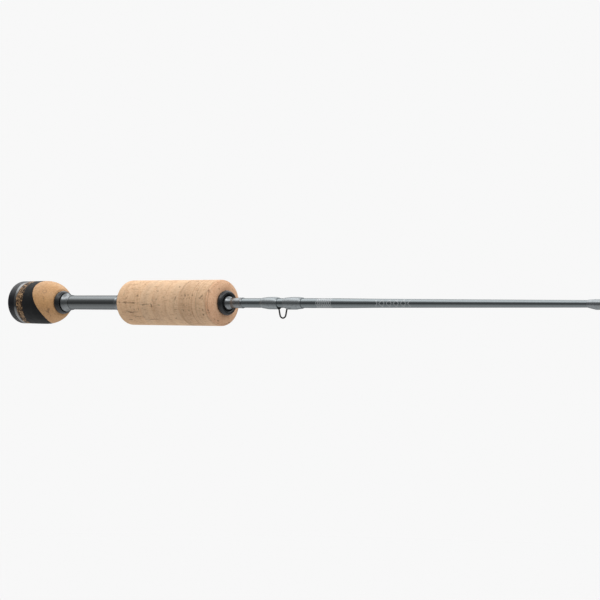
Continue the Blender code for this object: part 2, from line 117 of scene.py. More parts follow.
class Look:
    """A node material built by short calls: each call adds a node and returns its output."""

    def __init__(self, name, roughness=0.5, metallic=0.0):
        self.material = bpy.data.materials.new(name)
        self.material.use_nodes = True
        self.tree = self.material.node_tree
        self.shader = self.tree.nodes["Principled BSDF"]
        self.set("Roughness", roughness)
        self.set("Metallic", metallic)
        self.position = self.node("ShaderNodeTexCoord").outputs["Object"]

    def node(self, kind, **settings):
        return add_node(self.tree, kind, **settings)

    def wire(self, source, socket):
        if hasattr(source, "is_linked"):
            self.tree.links.new(source, socket)
        else:
            socket.default_value = source

    def set(self, socket, value):
        self.wire(value, self.shader.inputs[socket])

    def scaled(self, factors, source=None):
        """Object coordinates times a factor on each axis."""
        mapping = self.node("ShaderNodeMapping")
        mapping.inputs["Scale"].default_value = factors
        self.wire(source or self.position, mapping.inputs["Vector"])
        return mapping.outputs[0]

    def noise(self, size, detail=4.0, rough=0.55, stretch=(1, 1, 1), distortion=0.0):
        """Noise whose blobs are about size metres across."""
        made = self.node("ShaderNodeTexNoise")
        made.inputs["Scale"].default_value = 1.0
        made.inputs["Detail"].default_value = detail
        made.inputs["Roughness"].default_value = rough
        made.inputs["Distortion"].default_value = distortion
        self.wire(self.scaled([value / size for value in stretch]), made.inputs["Vector"])
        return made.outputs["Fac"]

    def cells(self, size, output="Color", stretch=(1, 1, 1)):
        made = self.node("ShaderNodeTexVoronoi", feature="F1")
        made.inputs["Scale"].default_value = 1.0
        self.wire(self.scaled([value / size for value in stretch]), made.inputs["Vector"])
        return made.outputs[output]

    def attribute(self, name):
        return self.node("ShaderNodeAttribute", attribute_name=name).outputs["Fac"]

    def attribute_colour(self, name):
        return self.node("ShaderNodeAttribute", attribute_name=name).outputs["Color"]

    def maths(self, operation, a, b=0.5, clamp=False):
        made = self.node("ShaderNodeMath", operation=operation, use_clamp=clamp)
        self.wire(a, made.inputs[0])
        self.wire(b, made.inputs[1])
        return made.outputs[0]

    def ramp(self, source, stops, smooth=False):
        made = self.node("ShaderNodeValToRGB")
        made.color_ramp.interpolation = "EASE" if smooth else "LINEAR"
        fill_ramp(made, stops)
        self.wire(source, made.inputs[0])
        return made.outputs["Color"]

    def mix(self, factor, a, b, blend="MIX"):
        made = self.node("ShaderNodeMix", data_type="RGBA", blend_type=blend)
        self.wire(factor, made.inputs[0])
        for value, socket in ((a, made.inputs[6]), (b, made.inputs[7])):
            self.wire((*value, 1.0) if isinstance(value, tuple) and len(value) == 3 else value, socket)
        return made.outputs[2]

    def axis(self, letter):
        parts = self.node("ShaderNodeSeparateXYZ")
        self.wire(self.position, parts.inputs[0])
        return parts.outputs[letter]

    def bump(self, height, distance, strength=1.0):
        made = self.node("ShaderNodeBump")
        made.inputs["Distance"].default_value = distance
        made.inputs["Strength"].default_value = strength
        self.wire(height, made.inputs["Height"])
        return made.outputs[0]


def cork_look(name, light, middle, dark, rough=0.72, gloss=0.30):
    look = Look(name, roughness=rough)
    look.set("Specular IOR Level", gloss)
    between = tuple((a + b) / 2 for a, b in zip(light, middle))
    mottle = look.noise(0.0060, 5, 0.60, stretch=(1.5, 1, 1), distortion=0.4)
    colour = look.ramp(mottle, [(0.30, between), (0.72, light)])
    grain = look.noise(0.00085, 4, 0.7, stretch=(0.6, 1, 1))
    colour = look.mix(look.ramp(grain, [(0.30, 0.85), (0.56, 0.0)]), colour, middle)
    lines = look.noise(0.0052, 4, 0.62, stretch=(3.4, 0.5, 0.5), distortion=0.35)
    colour = look.mix(look.maths("MULTIPLY", look.ramp(lines, [(0.36, 1.0), (0.50, 0.0)]), 0.16), colour, dark)
    fibre = look.noise(0.0016, 3, 0.6, stretch=(0.35, 2.2, 2.2))
    colour = look.mix(look.maths("MULTIPLY", look.ramp(fibre, [(0.32, 1.0), (0.46, 0.0)]), 0.38), colour, dark)
    specks = look.cells(0.0017, "Distance")
    speck_mask = look.ramp(specks, [(0.08, 1.0), (0.17, 0.0)])
    sparse = look.ramp(look.noise(0.005, 2), [(0.53, 0.0), (0.62, 1.0)])
    colour = look.mix(look.maths("MULTIPLY", look.maths("MULTIPLY", speck_mask, sparse), 0.75), colour, dark)
    colour = look.mix(1.0, colour, look.attribute_colour("tint"), "MULTIPLY")
    colour = look.mix(look.attribute("mark"), colour, (0.100, 0.043, 0.022))
    look.set("Base Color", colour)
    look.set("Roughness", look.ramp(grain, [(0.3, rough + 0.13), (0.7, rough - 0.06)]))
    height = look.maths("ADD", grain, look.maths("MULTIPLY", lines, 0.4))
    look.set("Normal", look.bump(height, 0.00016, 0.35))
    return look.material


def burl_look():
    """Fine dark and tan cork crumbs pressed together."""
    look = Look("burl_cork", roughness=0.55)
    look.set("Specular IOR Level", 0.2)
    crumbs = look.cells(0.00075, "Color", stretch=(1, 0.8, 0.8))
    pick = look.node("ShaderNodeSeparateColor")
    look.wire(crumbs, pick.inputs[0])
    colour = look.ramp(pick.outputs[0], [(0.0, (0.020, 0.011, 0.006)), (0.40, (0.050, 0.028, 0.014)),
                                         (0.50, (0.24, 0.140, 0.066)), (0.78, (0.45, 0.275, 0.140)),
                                         (1.0, (0.66, 0.42, 0.225))])
    squiggle = look.noise(0.0009, 2, 0.6, distortion=1.6)
    vein = look.maths("ABSOLUTE", look.maths("SUBTRACT", squiggle, 0.5))
    colour = look.mix(look.ramp(vein, [(0.018, 0.95), (0.060, 0.0)]), colour, (0.028, 0.014, 0.008))
    look.set("Base Color", colour)
    look.set("Normal", look.bump(look.noise(0.0008, 4), 0.00010, 0.35))
    return look.material


def rubber_look(name, colour=(0.0095, 0.0105, 0.0115), rough=0.58, gloss=0.14):
    look = Look(name, roughness=rough)
    look.set("Specular IOR Level", gloss)
    pores = look.noise(0.00045, 3, 0.7)
    look.set("Base Color", look.mix(look.ramp(pores, [(0.35, 1.0), (0.6, 0.0)]), colour,
                                    tuple(value * 1.7 for value in colour)))
    look.set("Roughness", look.ramp(look.noise(0.003, 3), [(0.3, rough - 0.07), (0.7, rough + 0.09)]))
    look.set("Normal", look.bump(pores, 0.00008, 0.5))
    return look.material


def cap_look():
    look = Look("cap_black", roughness=0.34, metallic=0.35)
    look.set("Specular IOR Level", 0.42)
    turning = look.noise(0.0011, 3, 0.6, stretch=(5.0, 0.35, 0.35))
    look.set("Base Color", look.ramp(turning, [(0.3, (0.006, 0.0068, 0.0095)), (0.7, (0.019, 0.0205, 0.025))]))
    look.set("Roughness", look.ramp(turning, [(0.3, 0.42), (0.7, 0.28)]))
    look.set("Normal", look.bump(turning, 0.00006, 0.5))
    return look.material


def polished_look(name, colour, rough, metallic=1.0):
    look = Look(name, roughness=rough, metallic=metallic)
    haze = look.noise(0.004, 4, 0.6, stretch=(4, 1, 1))
    look.set("Base Color", look.ramp(haze, [(0.3, tuple(value * 0.86 for value in colour)), (0.7, colour)]))
    look.set("Roughness", look.ramp(haze, [(0.3, rough * 0.8), (0.7, rough * 1.35)]))
    return look.material


def gunmetal_look(name, colour, rough, graphics=()):
    """Metallic paint with a fine flake under a clear coat; graphics are pale printed bands."""
    look = Look(name, roughness=rough, metallic=0.92)
    look.set("Specular Tint", (0.52, 0.53, 0.54, 1.0))
    look.set("Coat Weight", 0.25)
    look.set("Coat Roughness", 0.05)
    flake = look.cells(0.00016, "Color")
    pick = look.node("ShaderNodeSeparateColor")
    look.wire(flake, pick.inputs[0])
    cloud = look.noise(0.02, 3, 0.5, stretch=(0.4, 1, 1))
    base = look.ramp(pick.outputs[1], [(0.0, tuple(value * 0.90 for value in colour)),
                                       (1.0, tuple(value * 1.10 for value in colour))])
    base = look.mix(look.ramp(cloud, [(0.35, 0.14), (0.65, 0.0)]), base, tuple(value * 0.6 for value in colour))
    metal = 0.92
    for graphic in graphics:
        mask = graphic(look)
        base = look.mix(mask, base, (0.40, 0.42, 0.43))
        metal = look.maths("MULTIPLY", metal, look.maths("SUBTRACT", 1.0, mask))
    look.set("Metallic", metal)
    look.set("Base Color", base)
    look.set("Normal", look.bump(look.noise(0.0016, 3, stretch=(0.3, 1, 1)), 0.00001, 0.35))
    return look.material


def thread_look(name, colour, rough):
    """Grey metallic thread laid in close turns under clear epoxy."""
    look = Look(name, roughness=rough, metallic=0.88)
    look.set("Specular Tint", (0.52, 0.53, 0.54, 1.0))
    look.set("Coat Weight", 0.30)
    look.set("Coat Roughness", 0.04)
    turns = look.noise(0.0007, 3, 0.5, stretch=(3.2, 0.35, 0.35))
    look.set("Base Color", look.ramp(turns, [(0.30, tuple(value * 0.80 for value in colour)),
                                             (0.70, tuple(value * 1.20 for value in colour))]))
    look.set("Roughness", look.ramp(turns, [(0.3, rough * 1.25), (0.7, rough * 0.85)]))
    return look.material


def steel_look(name, colour, rough, metallic=0.95):
    look = Look(name, roughness=rough, metallic=metallic)
    haze = look.noise(0.0012, 4, 0.6)
    look.set("Base Color", look.ramp(haze, [(0.3, tuple(value * 0.8 for value in colour)), (0.7, colour)]))
    look.set("Roughness", look.ramp(haze, [(0.3, rough * 0.8), (0.7, rough * 1.3)]))
    return look.material


def ceramic_look():
    look = Look("guide_ceramic", roughness=0.08)
    look.set("Specular IOR Level", 0.75)
    look.set("Base Color", look.ramp(look.noise(0.0015, 3), [(0.3, (0.018, 0.019, 0.022)),
                                                             (0.7, (0.03, 0.032, 0.036))]))
    return look.material


# ---- printed graphics on the blank --------------------------------------------------------
def band_mask(look, start, end, edge=0.0003):
    """1 between two places along the rod."""
    x = look.axis("X")
    rising = look.maths("DIVIDE", look.maths("SUBTRACT", x, start), edge, clamp=True)
    falling = look.maths("DIVIDE", look.maths("SUBTRACT", end, x), edge, clamp=True)
    return look.maths("MULTIPLY", rising, falling)


def turn_angle(look):
    """Angle round the rod as a share of a turn, 0 on the -Y side."""
    angle = look.maths("ARCTAN2", look.axis("Z"), look.maths("MULTIPLY", look.axis("Y"), -1.0))
    return look.maths("DIVIDE", angle, TAU)


def hatching(look, start=0.2572, end=0.2690, pitch=0.0016, strength=0.60):
    """A band of crossing slant lines that leans over."""
    along = look.maths("DIVIDE", look.axis("X"), pitch)
    lean = look.maths("MULTIPLY", turn_angle(look), 5.0)
    masks = []
    for way in ("ADD", "SUBTRACT"):
        line = look.maths("PINGPONG", look.maths(way, along, lean), 0.5)
        masks.append(look.ramp(line, [(0.16, 1.0), (0.30, 0.0)]))
    line = look.maths("MAXIMUM", *masks)
    return look.maths("MULTIPLY", look.maths("MULTIPLY", line, band_mask(look, start, end)), strength)


def lozenges(look, start=0.3005, end=0.3255, pitch=0.0050, strength=0.62):
    """A row of open lozenges on the -Y side."""
    along = look.maths("PINGPONG", look.maths("DIVIDE", look.maths("SUBTRACT", look.axis("X"), start), pitch), 0.5)
    across = look.maths("ABSOLUTE", look.maths("MULTIPLY", turn_angle(look), 2.6))
    reach = look.maths("ADD", along, across)
    outline = look.maths("ABSOLUTE", look.maths("SUBTRACT", reach, 0.36))
    line = look.ramp(outline, [(0.06, 1.0), (0.11, 0.0)])
    return look.maths("MULTIPLY", look.maths("MULTIPLY", line, band_mask(look, start, end)), strength)


# ---- meshes -------------------------------------------------------------------------------
def inside_out(mesh):
    """True for a closed mesh whose faces point inwards, as a row order that runs backwards makes them."""
    mesh.calc_loop_triangles()
    places = np.empty(len(mesh.vertices) * 3, np.float32)
    mesh.vertices.foreach_get("co", places)
    places = places.reshape(-1, 3).astype(float)
    corners = np.empty(len(mesh.loop_triangles) * 3, np.int32)
    mesh.loop_triangles.foreach_get("vertices", corners)
    corners = (places - places.mean(axis=0))[corners.reshape(-1, 3)]
    return np.einsum("ij,ij->", corners[:, 0], np.cross(corners[:, 1], corners[:, 2])) < 0


def add_piece(name, points, faces, look, replaces=(), slot=None, attributes=None, sharp=35.0):
    mesh = bpy.data.meshes.new(name)
    mesh.from_pydata(points.tolist() if hasattr(points, "tolist") else points, [], faces)
    mesh.validate()
    if inside_out(mesh):
        mesh.flip_normals()
    mesh.shade_smooth()
    mesh.set_sharp_from_angle(angle=math.radians(sharp))
    for key, values in (attributes or {}).items():
        values = np.asarray(values, np.float32)
        if values.ndim == 1:
            mesh.attributes.new(key, "FLOAT", "POINT").data.foreach_set("value", values)
        else:
            full = np.concatenate([values, np.ones((len(values), 1), np.float32)], axis=1)
            mesh.attributes.new(key, "FLOAT_COLOR", "POINT").data.foreach_set("color", full.ravel())
    mesh.materials.append(look)
    made = bpy.data.objects.new(name, mesh)
    bpy.context.scene.collection.objects.link(made)
    if replaces:
        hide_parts(*replaces)
    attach(made, ROOT)
    return made


def grid_faces(rows, columns, closed):
    """Quads of a grid that wraps round its columns, and round its rows when closed."""
    faces = []
    for row in range(rows if closed else rows - 1):
        following = (row + 1) % rows
        for column in range(columns):
            nearby = (column + 1) % columns
            faces.append((row * columns + column, following * columns + column,
                          following * columns + nearby, row * columns + nearby))
    return faces


def lathe(name, profile, look, sides=96, closed=True, drop=0.0, shape=None, **piece):
    """A turned piece. profile is (x, radius) points; closed makes a ring with a bore.

    An open profile is capped at both ends. shape(x, radius, angle) may return new arrays of x
    and radius, and a dict of point attributes.
    """
    profile = np.asarray(profile, float)
    angles = np.arange(sides) * TAU / sides
    x = np.repeat(profile[:, 0], sides).reshape(-1, sides)
    radius = np.repeat(profile[:, 1], sides).reshape(-1, sides)
    angle = np.tile(angles, (len(profile), 1))
    attributes = {}
    if shape is not None:
        x, radius, attributes = shape(x, radius, angle)
        attributes = {key: value.reshape(x.size, *value.shape[2:]) for key, value in attributes.items()}
    points = np.stack([x, -radius * np.cos(angle), radius * np.sin(angle) - drop], axis=-1).reshape(-1, 3)
    faces = grid_faces(len(profile), sides, closed)
    if not closed:
        last = (len(profile) - 1) * sides
        faces += [tuple(range(sides)), tuple(range(last + sides - 1, last - 1, -1))]
    return add_piece(name, points, faces, look, attributes=attributes, **piece)


def ramp_rows(start, end, step):
    """Evenly spaced values from start to end, both included, about step apart."""
    return np.linspace(start, end, max(2, int(round(abs(end - start) / step)) + 1))


def sweep(path, widths, sides=20):
    """Points and faces of a bent wire with rounded ends. widths is (half width, half height)."""
    path = [Vector(point) for point in path]
    across = None
    ahead_of = [(path[min(i + 1, len(path) - 1)] - path[max(i - 1, 0)]).normalized() for i in range(len(path))]
    stations = []
    first, last = path[0], path[-1]
    for part in (0.08, 0.38, 0.70, 0.92):
        cap = math.sqrt(1 - (1 - part) ** 2)
        stations.append((first - ahead_of[0] * widths[0][1] * (1 - part) * 0.9, ahead_of[0], widths[0], cap))
    stations += [(point, ahead, width, 1.0) for point, ahead, width in zip(path, ahead_of, widths)]
    for part in (0.92, 0.70, 0.38, 0.08):
        cap = math.sqrt(1 - (1 - part) ** 2)
        stations.append((last + ahead_of[-1] * widths[-1][1] * (1 - part) * 0.9, ahead_of[-1], widths[-1], cap))
    points = []
    for centre, ahead, (half_width, half_height), cap in stations:
        if across is None:
            across = ahead.cross(Vector((0, 0, 1)))
            if across.length < 1e-6:
                across = Vector((0, 1, 0))
        across = (across - ahead * across.dot(ahead)).normalized()
        upward = across.cross(ahead).normalized()
        for side in range(sides):
            angle = TAU * side / sides
            points.append(centre + across * (half_width * cap * math.cos(angle))
                          + upward * (half_height * cap * math.sin(angle)))
    faces = [tuple(reversed(face)) for face in grid_faces(len(stations), sides, False)]
    count = len(points)
    faces += [tuple(range(sides)), tuple(range(count - 1, count - sides - 1, -1))]
    return [tuple(point) for point in points], faces


def smooth_path(points, per_span=8):
    route = [Vector(point) for point in points]
    ends = [route[0] * 2 - route[1], *route, route[-1] * 2 - route[-2]]
    smooth = []
    for index in range(1, len(ends) - 2):
        a, b, c, d = ends[index - 1:index + 3]
        for step in range(per_span):
            t = step / per_span
            smooth.append(0.5 * (2 * b + (c - a) * t + (2 * a - 5 * b + 4 * c - d) * t ** 2
                                 + (3 * b - a - 3 * c + d) * t ** 3))
    smooth.append(route[-1])
    return smooth


# ---- shared shapes ------------------------------------------------------------------------
def butt_radius(x):
    x = np.asarray(x, float)
    swell = np.clip((x - BELLY_START) / (BELLY_END - BELLY_START), 0, 1)
    straight = BUTT_RADIUS + (BELLY_RADIUS - BUTT_RADIUS) * swell
    reach = np.clip((x - DOME_START) / DOME_LENGTH, 0, 1)
    return np.where(x > DOME_START, BELLY_RADIUS * np.sqrt(1 - reach ** 2), straight)


def blank_radius(x):
    places, radii = zip(*BLANK_TAPER)
    return np.interp(x, places, radii)


def seam(name, angle, radius):
    middle, near, top, saddle = (value * MM for value in SEAMS[name])
    wave = near * np.cos(angle) + top * np.sin(angle) + saddle * np.sin(2 * angle)
    return middle + wave * radius / BUTT_RADIUS


# ---- cork ---------------------------------------------------------------------------------
# Marks at set places on the -Y side of the grips, most of the places worked out by a separate
# script: (x, degrees above that side, half length along the rod, half width round it, depth),
# lengths in millimetres. The rest are scattered.
GRIP_MARKS = (
    (115.2, 0, 9.4, 0.26, 0.08), (111.8, 0, 1.6, 0.42, 0.12), (119.4, -1, 1.3, 0.42, 0.13),
    (107.0, 1, 0.9, 0.40, 0.09), (122.6, 18, 0.6, 0.55, 0.26), (121.6, 17, 0.9, 0.30, 0.09),
    (109.9, 26, 0.35, 1.0, 0.07), (112.8, 11, 0.6, 0.45, 0.07), (117.0, -24, 7.0, 0.26, 0.08),
    (115.5, -25, 3.2, 0.42, 0.12), (120.5, -38, 5.2, 0.24, 0.06), (125.9, -36, 0.3, 1.0, 0.07),
    (112.3, -49, 1.8, 0.40, 0.10), (116.5, -11, 0.5, 0.40, 0.06), (119.4, -17, 0.5, 0.50, 0.07),
    (123.4, -16, 0.35, 0.9, 0.08), (113.9, 54, 5.0, 0.20, 0.03), (117.1, 37, 5.5, 0.20, 0.03),
    (123.5, 55, 0.8, 0.40, 0.07), (129.5, -4, 4.6, 0.26, 0.07), (134.9, -6, 0.6, 0.80, 0.26),
    (127.5, -5, 1.2, 0.35, 0.10), (135.7, 7, 0.5, 0.40, 0.07), (139.2, 8, 0.8, 0.40, 0.06),
    (138.9, 30, 0.6, 0.45, 0.09), (135.1, 45, 2.4, 0.22, 0.05), (155.4, 10, 0.9, 1.1, 0.08),
    (155.6, 44, 0.8, 0.50, 0.10), (141.6, -6, 1.0, 0.30, 0.06), (133.0, -47, 8.5, 0.22, 0.06),
    (152.8, -42, 1.2, 0.35, 0.07), (160.6, 18, 0.5, 0.40, 0.07), (163.3, 19, 1.0, 0.80, 0.09),
    (165.8, 20, 0.8, 0.50, 0.09), (162.8, 10, 0.5, 0.40, 0.09), (165.3, 10, 0.5, 0.35, 0.07),
    (167.5, 11, 0.4, 0.35, 0.07), (163.0, -5, 0.5, 0.40, 0.08), (165.5, -6, 0.4, 0.35, 0.06),
    (161.9, -19, 0.6, 0.50, 0.16), (166.4, -19, 0.8, 0.35, 0.07), (169.5, 19, 0.7, 0.50, 0.07),
    (177.3, 16, 1.1, 0.80, 0.11), (176.2, 11, 0.8, 0.50, 0.11), (178.2, 9, 0.5, 0.60, 0.11),
    (178.2, -18, 0.5, 0.90, 0.09), (177.6, -30, 0.8, 0.50, 0.18),
)
END_MARKS = (
    (181.6, 31, 0.9, 0.75, 0.10), (183.7, 59, 0.4, 0.40, 0.14), (182.0, -20, 0.5, 0.50, 0.18),
    (182.1, -27, 0.5, 0.45, 0.10), (182.7, -52, 0.4, 0.40, 0.10), (183.0, -65, 0.5, 0.50, 0.22),
    (182.7, -110, 0.5, 0.45, 0.18), (182.8, 113, 0.4, 0.4, 0.10),
)
DOME_MARKS = (
    (24.3, 41, 0.8, 0.50, 0.10), (35.1, -29, 1.5, 1.20, 0.05), (34.4, -33, 0.6, 0.50, 0.09),
    (36.0, -26, 0.5, 0.45, 0.09), (33.6, -27, 0.4, 0.40, 0.08), (34.7, -52, 0.7, 0.40, 0.07),
    (33.2, 14, 0.9, 0.50, 0.03),
)
# Knots: only the outline is dark. (x, degrees, half length, half width, darkness)
DOME_KNOTS = ((32.4, 36, 1.25, 0.95, 0.40), (30.9, -21, 1.3, 1.0, 0.26))
# Growth rings that show as dark circles: (x, darkness, half width)
GROWTH_RINGS = ((103.6, 0.10, 0.5), (129.3, 0.05, 0.4), (131.0, 0.05, 0.3), (159.6, 0.16, 0.9), (161.8, 0.08, 0.9),
                (167.3, 0.08, 0.4), (169.1, 0.20, 0.35), (170.6, 0.08, 0.3), (172.7, 0.18, 0.35), (175.0, 0.07, 0.5),
                (179.9, 0.10, 0.5), (180.9, 0.22, 0.3), (182.15, 0.14, 0.32))


def scatter_marks(x0, x1, count, size=1.0):
    """Seeded pits and lenticels between two places along the rod, in millimetres and degrees."""
    marks = []
    for _ in range(count):
        x = RNG.uniform(x0, x1)
        angle = RNG.uniform(-180, 180)
        kind = RNG.random()
        if kind < 0.22:
            marks.append((x, angle, size * RNG.uniform(1.0, 3.4), 0.16, RNG.uniform(0.03, 0.08)))
        else:
            width = size * RNG.uniform(0.16, 0.42)
            marks.append((x, angle, width * RNG.uniform(0.7, 1.6), width, RNG.uniform(0.04, 0.20)))
    return marks


def carve_marks(x, radius, angle, marks, pit_phase):
    """Depth and darkness of every mark on a grid."""
    depth = np.zeros_like(x)
    dark = np.zeros_like(x)
    places, heights = x[:, 0], radius[:, 0]
    for mark_x, degrees, half_length, half_width, mark_depth in marks:
        along = (x / MM - mark_x) / half_length
        if np.abs(along).min() > 1.4:
            continue
        level = heights[np.where(heights > 1.3 * BORE, np.abs(places / MM - mark_x), np.inf).argmin()]
        turn = (angle - math.radians(degrees) + math.pi) % TAU - math.pi
        across = turn * radius / MM / (half_width * 1.2)
        inward = (radius - level) / MM / max(half_width, 0.3)
        wander = 0.5 * np.sin(along * 3.1 + degrees) + 0.3 * np.sin(along * 8.3 + pit_phase)
        distance = np.sqrt(along ** 2 + (across + wander) ** 2 + inward ** 2)
        ragged = 1 + 0.25 * np.sin(along * 13 + degrees) * np.sin(across * 4 + degrees)
        fade = np.clip(1.25 - distance * ragged, 0, 1)
        fade = fade * fade * (3 - 2 * fade)
        strength = min(1.0, 0.42 + mark_depth * 2.6)
        depth = np.maximum(depth, fade * mark_depth * MM)
        dark = np.maximum(dark, fade * strength)
    return depth, dark


def knots(x, radius, angle, outlines):
    dark = np.zeros_like(x)
    for knot_x, degrees, half_length, half_width, strength in outlines:
        along = (x / MM - knot_x) / half_length
        across = ((angle - math.radians(degrees) + math.pi) % TAU - math.pi) * radius / MM / half_width
        distance = np.sqrt(along ** 2 + across ** 2) + 0.12 * np.sin(5 * np.arctan2(across, along))
        dark = np.maximum(dark, strength * np.clip(1 - np.abs(distance - 1) / 0.42, 0, 1))
    return dark


def growth(x, angle, phase):
    """Darkness of the growth rings, each fading and wandering a little on its way round."""
    dark = np.zeros_like(x)
    for number, (place, strength, half) in enumerate(GROWTH_RINGS):
        drift = 0.16 * np.sin(angle * 2 + number) + 0.10 * np.sin(angle * 5 + phase + number * 2)
        fade = 0.72 + 0.28 * np.sin(angle * 3 + number * 1.7)
        dark = np.maximum(dark, strength * fade * np.exp(-((x / MM - place - drift) / half) ** 2))
    return dark


def cork_shape(tint, marks, phase, outlines=()):
    """Shape function of one piece of cork: carved marks, growth rings and its own tint."""
    tint = np.asarray(tint, float)

    def shape(x, radius, angle):
        depth, dark = carve_marks(x, radius, angle, marks, phase)
        dark = np.maximum(dark, knots(x, radius, angle, outlines))
        dark = 1 - (1 - dark) * (1 - 1.8 * growth(x, angle, phase))
        outside = radius > BORE * 1.15
        ripple = 0.010 * MM * np.sin(x / MM * 9.0 + phase + 0.6 * np.sin(angle * 2 + phase))
        radius = np.where(outside, radius - depth + ripple - 0.010 * MM, radius)
        shade = 1 + 0.035 * np.sin(x / MM * 0.55 + 1.1 * np.sin(angle + phase) + phase)
        colour = np.clip(tint[None, None, :] * shade[..., None], 0, 1)
        return x, radius, {"mark": np.where(outside, dark, 0.0), "tint": colour}

    return shape


CORK_STEP = 0.00032
CORK_SIDES = 256
RING_TINTS = (
    (0.98, 0.955, 0.93), (0.975, 0.955, 0.93), (0.97, 0.985, 1.0), (0.95, 0.945, 0.945),
    (0.97, 0.985, 1.0), (0.885, 0.865, 0.85), (0.95, 0.94, 0.935),
)


def make_cork():
    cork = cork_look("cork", (0.91, 0.645, 0.418), (0.71, 0.440, 0.255), (0.38, 0.190, 0.095))
    end_cork = cork_look("end_cork", (0.90, 0.605, 0.395), (0.72, 0.405, 0.235), (0.40, 0.185, 0.10))
    rings = sorted((node for node in frame["nodes"] if node.startswith("fore_cork_") and node[-1].isdigit()))
    for index, node in enumerate(rings):
        low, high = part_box(node)
        x0, x1 = low.x + RING_GAP, high.x - RING_GAP
        bevel = 0.00007
        marks = [mark for mark in scatter_marks(x0 / MM + 0.5, x1 / MM - 0.5, 46) if not -62 < mark[1] < 62]
        marks += [mark for mark in scatter_marks(x0 / MM + 0.5, x1 / MM - 0.5, 26, 0.6) if -66 < mark[1] < 66]
        marks += [mark for mark in GRIP_MARKS if x0 / MM - 10 < mark[0] < x1 / MM + 10]
        if index == 0:
            along, across = 0.0031, 0.0038
            turn = np.linspace(0, math.pi / 2, 16)
            edge = [(x0 + along * (1 - math.sin(a)), GRIP_RADIUS - across + across * math.cos(a)) for a in turn[::-1]]
            face = [(x0, r) for r in ramp_rows(BORE, GRIP_RADIUS - across - 0.0003, 0.0006)]
            outline = face + edge + [(x, GRIP_RADIUS) for x in ramp_rows(x0 + along + CORK_STEP, x1 - bevel, CORK_STEP)]
        else:
            outline = [(x0, BORE), (x0, GRIP_RADIUS - bevel)]
            outline += [(x, GRIP_RADIUS) for x in ramp_rows(x0 + bevel, x1 - bevel, CORK_STEP)]
        outline += [(x1, GRIP_RADIUS - bevel), (x1, BORE)]
        lathe(f"cork_ring_{index + 1}", outline, cork, CORK_SIDES, replaces=(node,), slot="cork",
              shape=cork_shape(RING_TINTS[index], marks, index * 1.7), sharp=60)
    make_end_ring(end_cork)
    make_butt_cork(cork_look("butt_cork", (0.685, 0.405, 0.184), (0.53, 0.270, 0.108), (0.24, 0.092, 0.034),
                             rough=0.50, gloss=0.50))


def make_end_ring(look):
    low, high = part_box("fore_cork_end_ring")
    x0, x1 = low.x + RING_GAP, high.x
    along, across = x1 - x0 - 0.0001, 0.0068
    turn = np.linspace(0, math.pi / 2, 44)
    crown = [(x1 - along + along * math.sin(a), GRIP_RADIUS - across + across * math.cos(a)) for a in turn]
    face = [(x1, r) for r in ramp_rows(GRIP_RADIUS - across - 0.0003, BORE, 0.0005)]
    marks = list(END_MARKS) + [mark for mark in scatter_marks(x0 / MM, x1 / MM, 20) if not -80 < mark[1] < 80]
    marks += scatter_marks(x0 / MM, x1 / MM, 14, 0.5)
    outline = [(x0, BORE), (x0, GRIP_RADIUS - 0.0001)] + crown + face
    lathe("cork_end_ring", outline, look, CORK_SIDES, replaces=("fore_cork_end_ring",), slot="end_cork",
          shape=cork_shape((1.0, 0.97, 0.95), marks, 4.2), sharp=60)


def make_butt_cork(look):
    """The butt grip's cork dome, whose rear end follows the slanting seam."""
    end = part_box("butt_cork")[1].x
    rows = 72
    marks = [mark for mark in scatter_marks(20, 38, 60) if not -70 < mark[1] < 80]
    marks += scatter_marks(20, 38, 40, 0.5)
    marks += DOME_MARKS
    profile = [(part, -1.0) for part in np.linspace(0, 1, rows)] + [(1.0, BORE), (0.0, BORE)]
    dress = cork_shape((1.0, 1.0, 1.0), marks, 2.3, DOME_KNOTS)

    def shape(part, radius, angle):
        rear = seam("inlay_to_cork", angle, BUTT_RADIUS) + SEAM_GAP
        place = (1 - part) * rear + part * end
        inner = np.where(part > 0.5, end, seam("inlay_to_cork", angle, BORE) + SEAM_GAP)
        outside = radius < 0
        place = np.where(outside, place, inner)
        radius = np.where(outside, butt_radius(place), radius)
        return dress(place, radius, angle)

    lathe("cork_dome", profile, look, CORK_SIDES, replaces=("butt_cork",), slot="cork", shape=shape, sharp=50)


# ---- butt grip ----------------------------------------------------------------------------
def seam_ring(name, node, slot, look, rear, front, rows, sides=192):
    """A ring of the butt grip between two curved seams."""
    profile = [(part, -1.0) for part in np.linspace(0, 1, rows)] + [(1.0, BORE), (0.0, BORE)]

    def shape(x, radius, angle):
        part = x
        rear_x = seam(rear, angle, BUTT_RADIUS) + SEAM_GAP
        front_x = seam(front, angle, BUTT_RADIUS) - SEAM_GAP
        place = (1 - part) * rear_x + part * front_x
        inner = np.where(part > 0.5, seam(front, angle, BORE) - SEAM_GAP, seam(rear, angle, BORE) + SEAM_GAP)
        outside = radius < 0
        place = np.where(outside, place, inner)
        edge = np.minimum(part, 1 - part) * (front_x - rear_x)
        soften = 0.00006 * np.clip(1 - edge / 0.0002, 0, 1) ** 2
        outer = butt_radius(place) - soften
        return place, np.where(outside, outer, radius), {}

    lathe(name, profile, look, sides, replaces=(node,), slot=slot, shape=shape, sharp=50)


